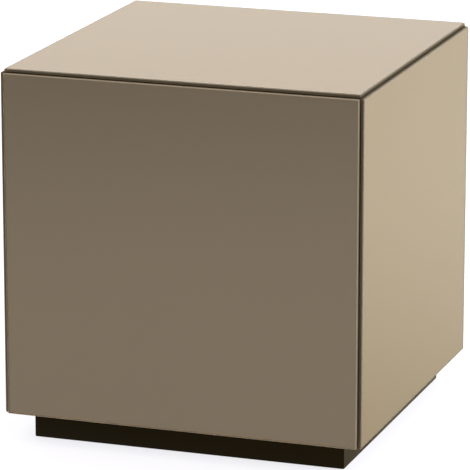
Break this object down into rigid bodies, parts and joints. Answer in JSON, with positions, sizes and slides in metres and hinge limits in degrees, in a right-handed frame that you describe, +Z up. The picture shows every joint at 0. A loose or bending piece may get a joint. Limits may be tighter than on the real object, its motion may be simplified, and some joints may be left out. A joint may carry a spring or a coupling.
{
  "type": "mirrored cube side table",
  "caption": "Cube-shaped side table clad in flat bronze mirror glass panes with open arrised corners, standing on a recessed dark plinth with low glides.",
  "frame": {"origin": "centre of the footprint, on the floor, at the bottom of the glides", "axes": "+Z up; the front pane faces -Y and +X is the viewer's right when facing it"},
  "size_m": [0.45, 0.45, 0.462],
  "materials": {
    "bronze_mirror": "second-surface bronze mirror glass, flat, with ground arrises",
    "mounting_tape": "matt foam mounting tape",
    "carcass_board": "medium-density fibreboard, stained dark",
    "beech_dowel": "plain fluted beech",
    "zinc_steel": "bright zinc-plated steel",
    "plinth_lacquer": "board with satin black-brown lacquer",
    "pine_block": "planed softwood, unfinished",
    "glide_plastic": "moulded brown polyethylene",
    "nail_steel": "plain drawn steel"
  },
  "bodies": {
    "root": {"mirror_top": "bronze_mirror", "mirror_front": "bronze_mirror", "mirror_back": "bronze_mirror", "mirror_left": "bronze_mirror", "mirror_right": "bronze_mirror", "tape_top": "mounting_tape", "tape_front": "mounting_tape", "tape_back": "mounting_tape", "tape_left": "mounting_tape", "tape_right": "mounting_tape", "board_top": "carcass_board", "board_bottom": "carcass_board", "board_front": "carcass_board", "board_back": "carcass_board", "board_left": "carcass_board", "board_right": "carcass_board", "top_dowels": "beech_dowel", "front_dowels": "beech_dowel", "back_dowels": "beech_dowel", "bottom_screws": "zinc_steel", "plinth_front": "plinth_lacquer", "plinth_back": "plinth_lacquer", "plinth_left": "plinth_lacquer", "plinth_right": "plinth_lacquer", "block_front_left": "pine_block", "block_front_right": "pine_block", "block_back_left": "pine_block", "block_back_right": "pine_block", "plinth_screws": "zinc_steel", "glide_front_left": "glide_plastic", "glide_front_right": "glide_plastic", "glide_back_left": "glide_plastic", "glide_back_right": "glide_plastic", "glide_nails": "nail_steel"}
  },
  "joints": []
}
